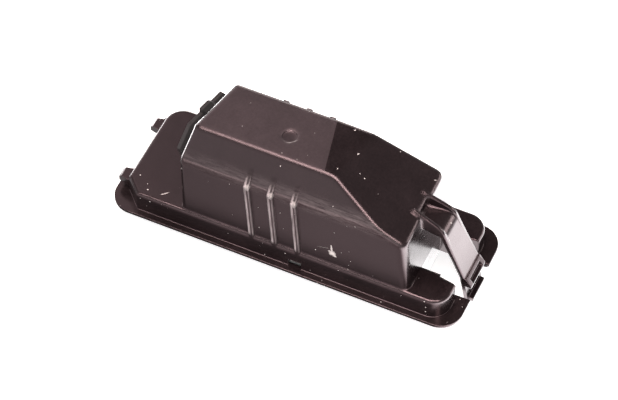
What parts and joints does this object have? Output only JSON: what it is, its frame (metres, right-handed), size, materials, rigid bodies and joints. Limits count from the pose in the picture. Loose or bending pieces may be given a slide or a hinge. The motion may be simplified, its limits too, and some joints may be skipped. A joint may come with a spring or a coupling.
{
  "type": "number plate lamp",
  "caption": "Snap-in car number plate lamp: black moulded housing with ribbed walls, sloping roof, hooks and a spring clip, over a clear lens and a wedge-base bulb in its holder.",
  "frame": {"origin": "middle of the lamp's box at its lowest level, on the lens's outer face", "axes": "+X along the lamp from the hooks to the spring clip, +Z from the lens up to the top of the housing, -Y is the side with the wide shoulder"},
  "size_m": [0.086, 0.0302, 0.0326],
  "materials": {
    "housing_plastic": "black polycarbonate as moulded, satin gloss",
    "clear_plastic": "clear polycarbonate, polished",
    "holder_plastic": "dark glass-filled polyester, dull",
    "contact_brass": "stamped strip",
    "bulb_glass": "clear",
    "lead_wire": "drawn nickel-iron wire",
    "filament_wire": "tungsten wire"
  },
  "bodies": {
    "root": {"housing": "housing_plastic", "lens": "clear_plastic", "bulb_holder": "holder_plastic", "contact_upper": "contact_brass", "contact_lower": "contact_brass", "bulb_glass": "bulb_glass", "bulb_lead_upper": "lead_wire", "bulb_lead_lower": "lead_wire", "bulb_filament": "filament_wire"}
  },
  "joints": []
}
